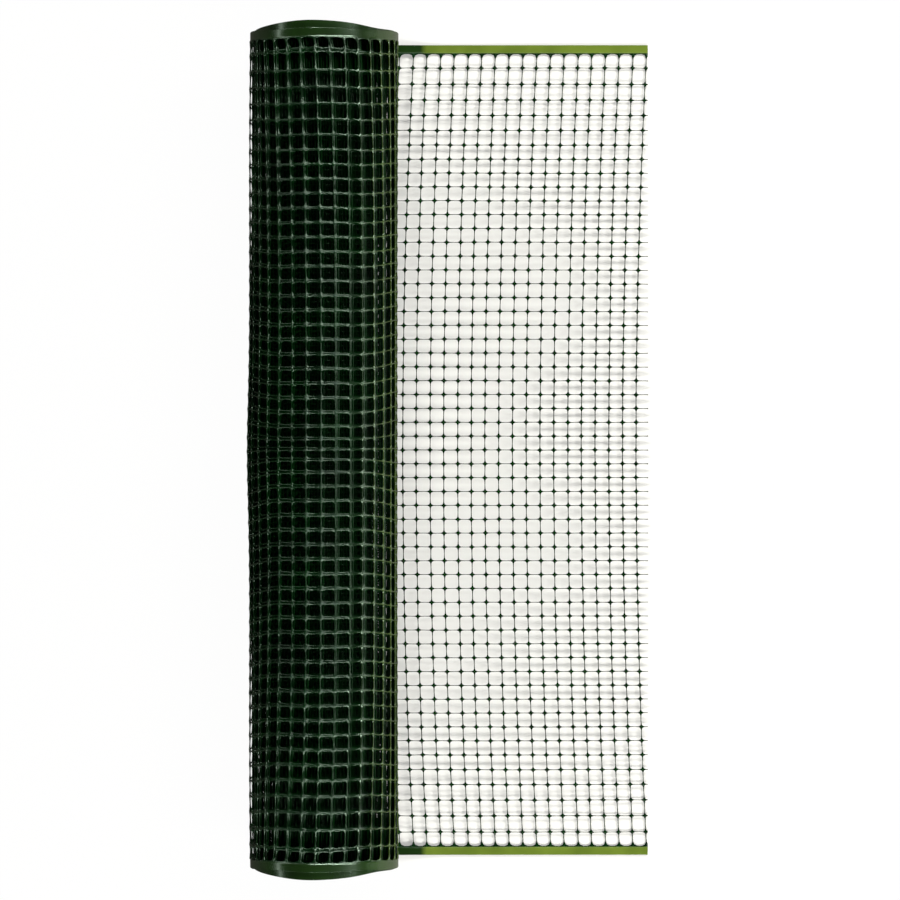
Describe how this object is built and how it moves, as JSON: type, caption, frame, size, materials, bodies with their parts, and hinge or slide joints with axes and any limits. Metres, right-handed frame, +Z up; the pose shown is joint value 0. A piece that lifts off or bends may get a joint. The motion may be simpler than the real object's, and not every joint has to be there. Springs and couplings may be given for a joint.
{
  "type": "roll of plastic fence mesh",
  "caption": "Roll of square plastic fence mesh with solid edge bands, lying down with its free end unrolled flat on the ground.",
  "frame": {"origin": "middle of the bounding box, on the ground that the roll and its free end lie on", "axes": "+Y along the roll's axis and the mesh's width, +X from the roll out along the free end, +Z up"},
  "size_m": [0.487, 1, 0.1779],
  "materials": {
    "wound_mesh": "dark green extruded polyethylene mesh, wound in many layers, glossy",
    "free_mesh": "olive green extruded polyethylene mesh, one layer, slightly translucent"
  },
  "bodies": {
    "root": {"roll": "wound_mesh", "free_end_1": "free_mesh", "free_end_2": "free_mesh", "free_end_3": "free_mesh", "free_end_4": "free_mesh"}
  },
  "joints": []
}
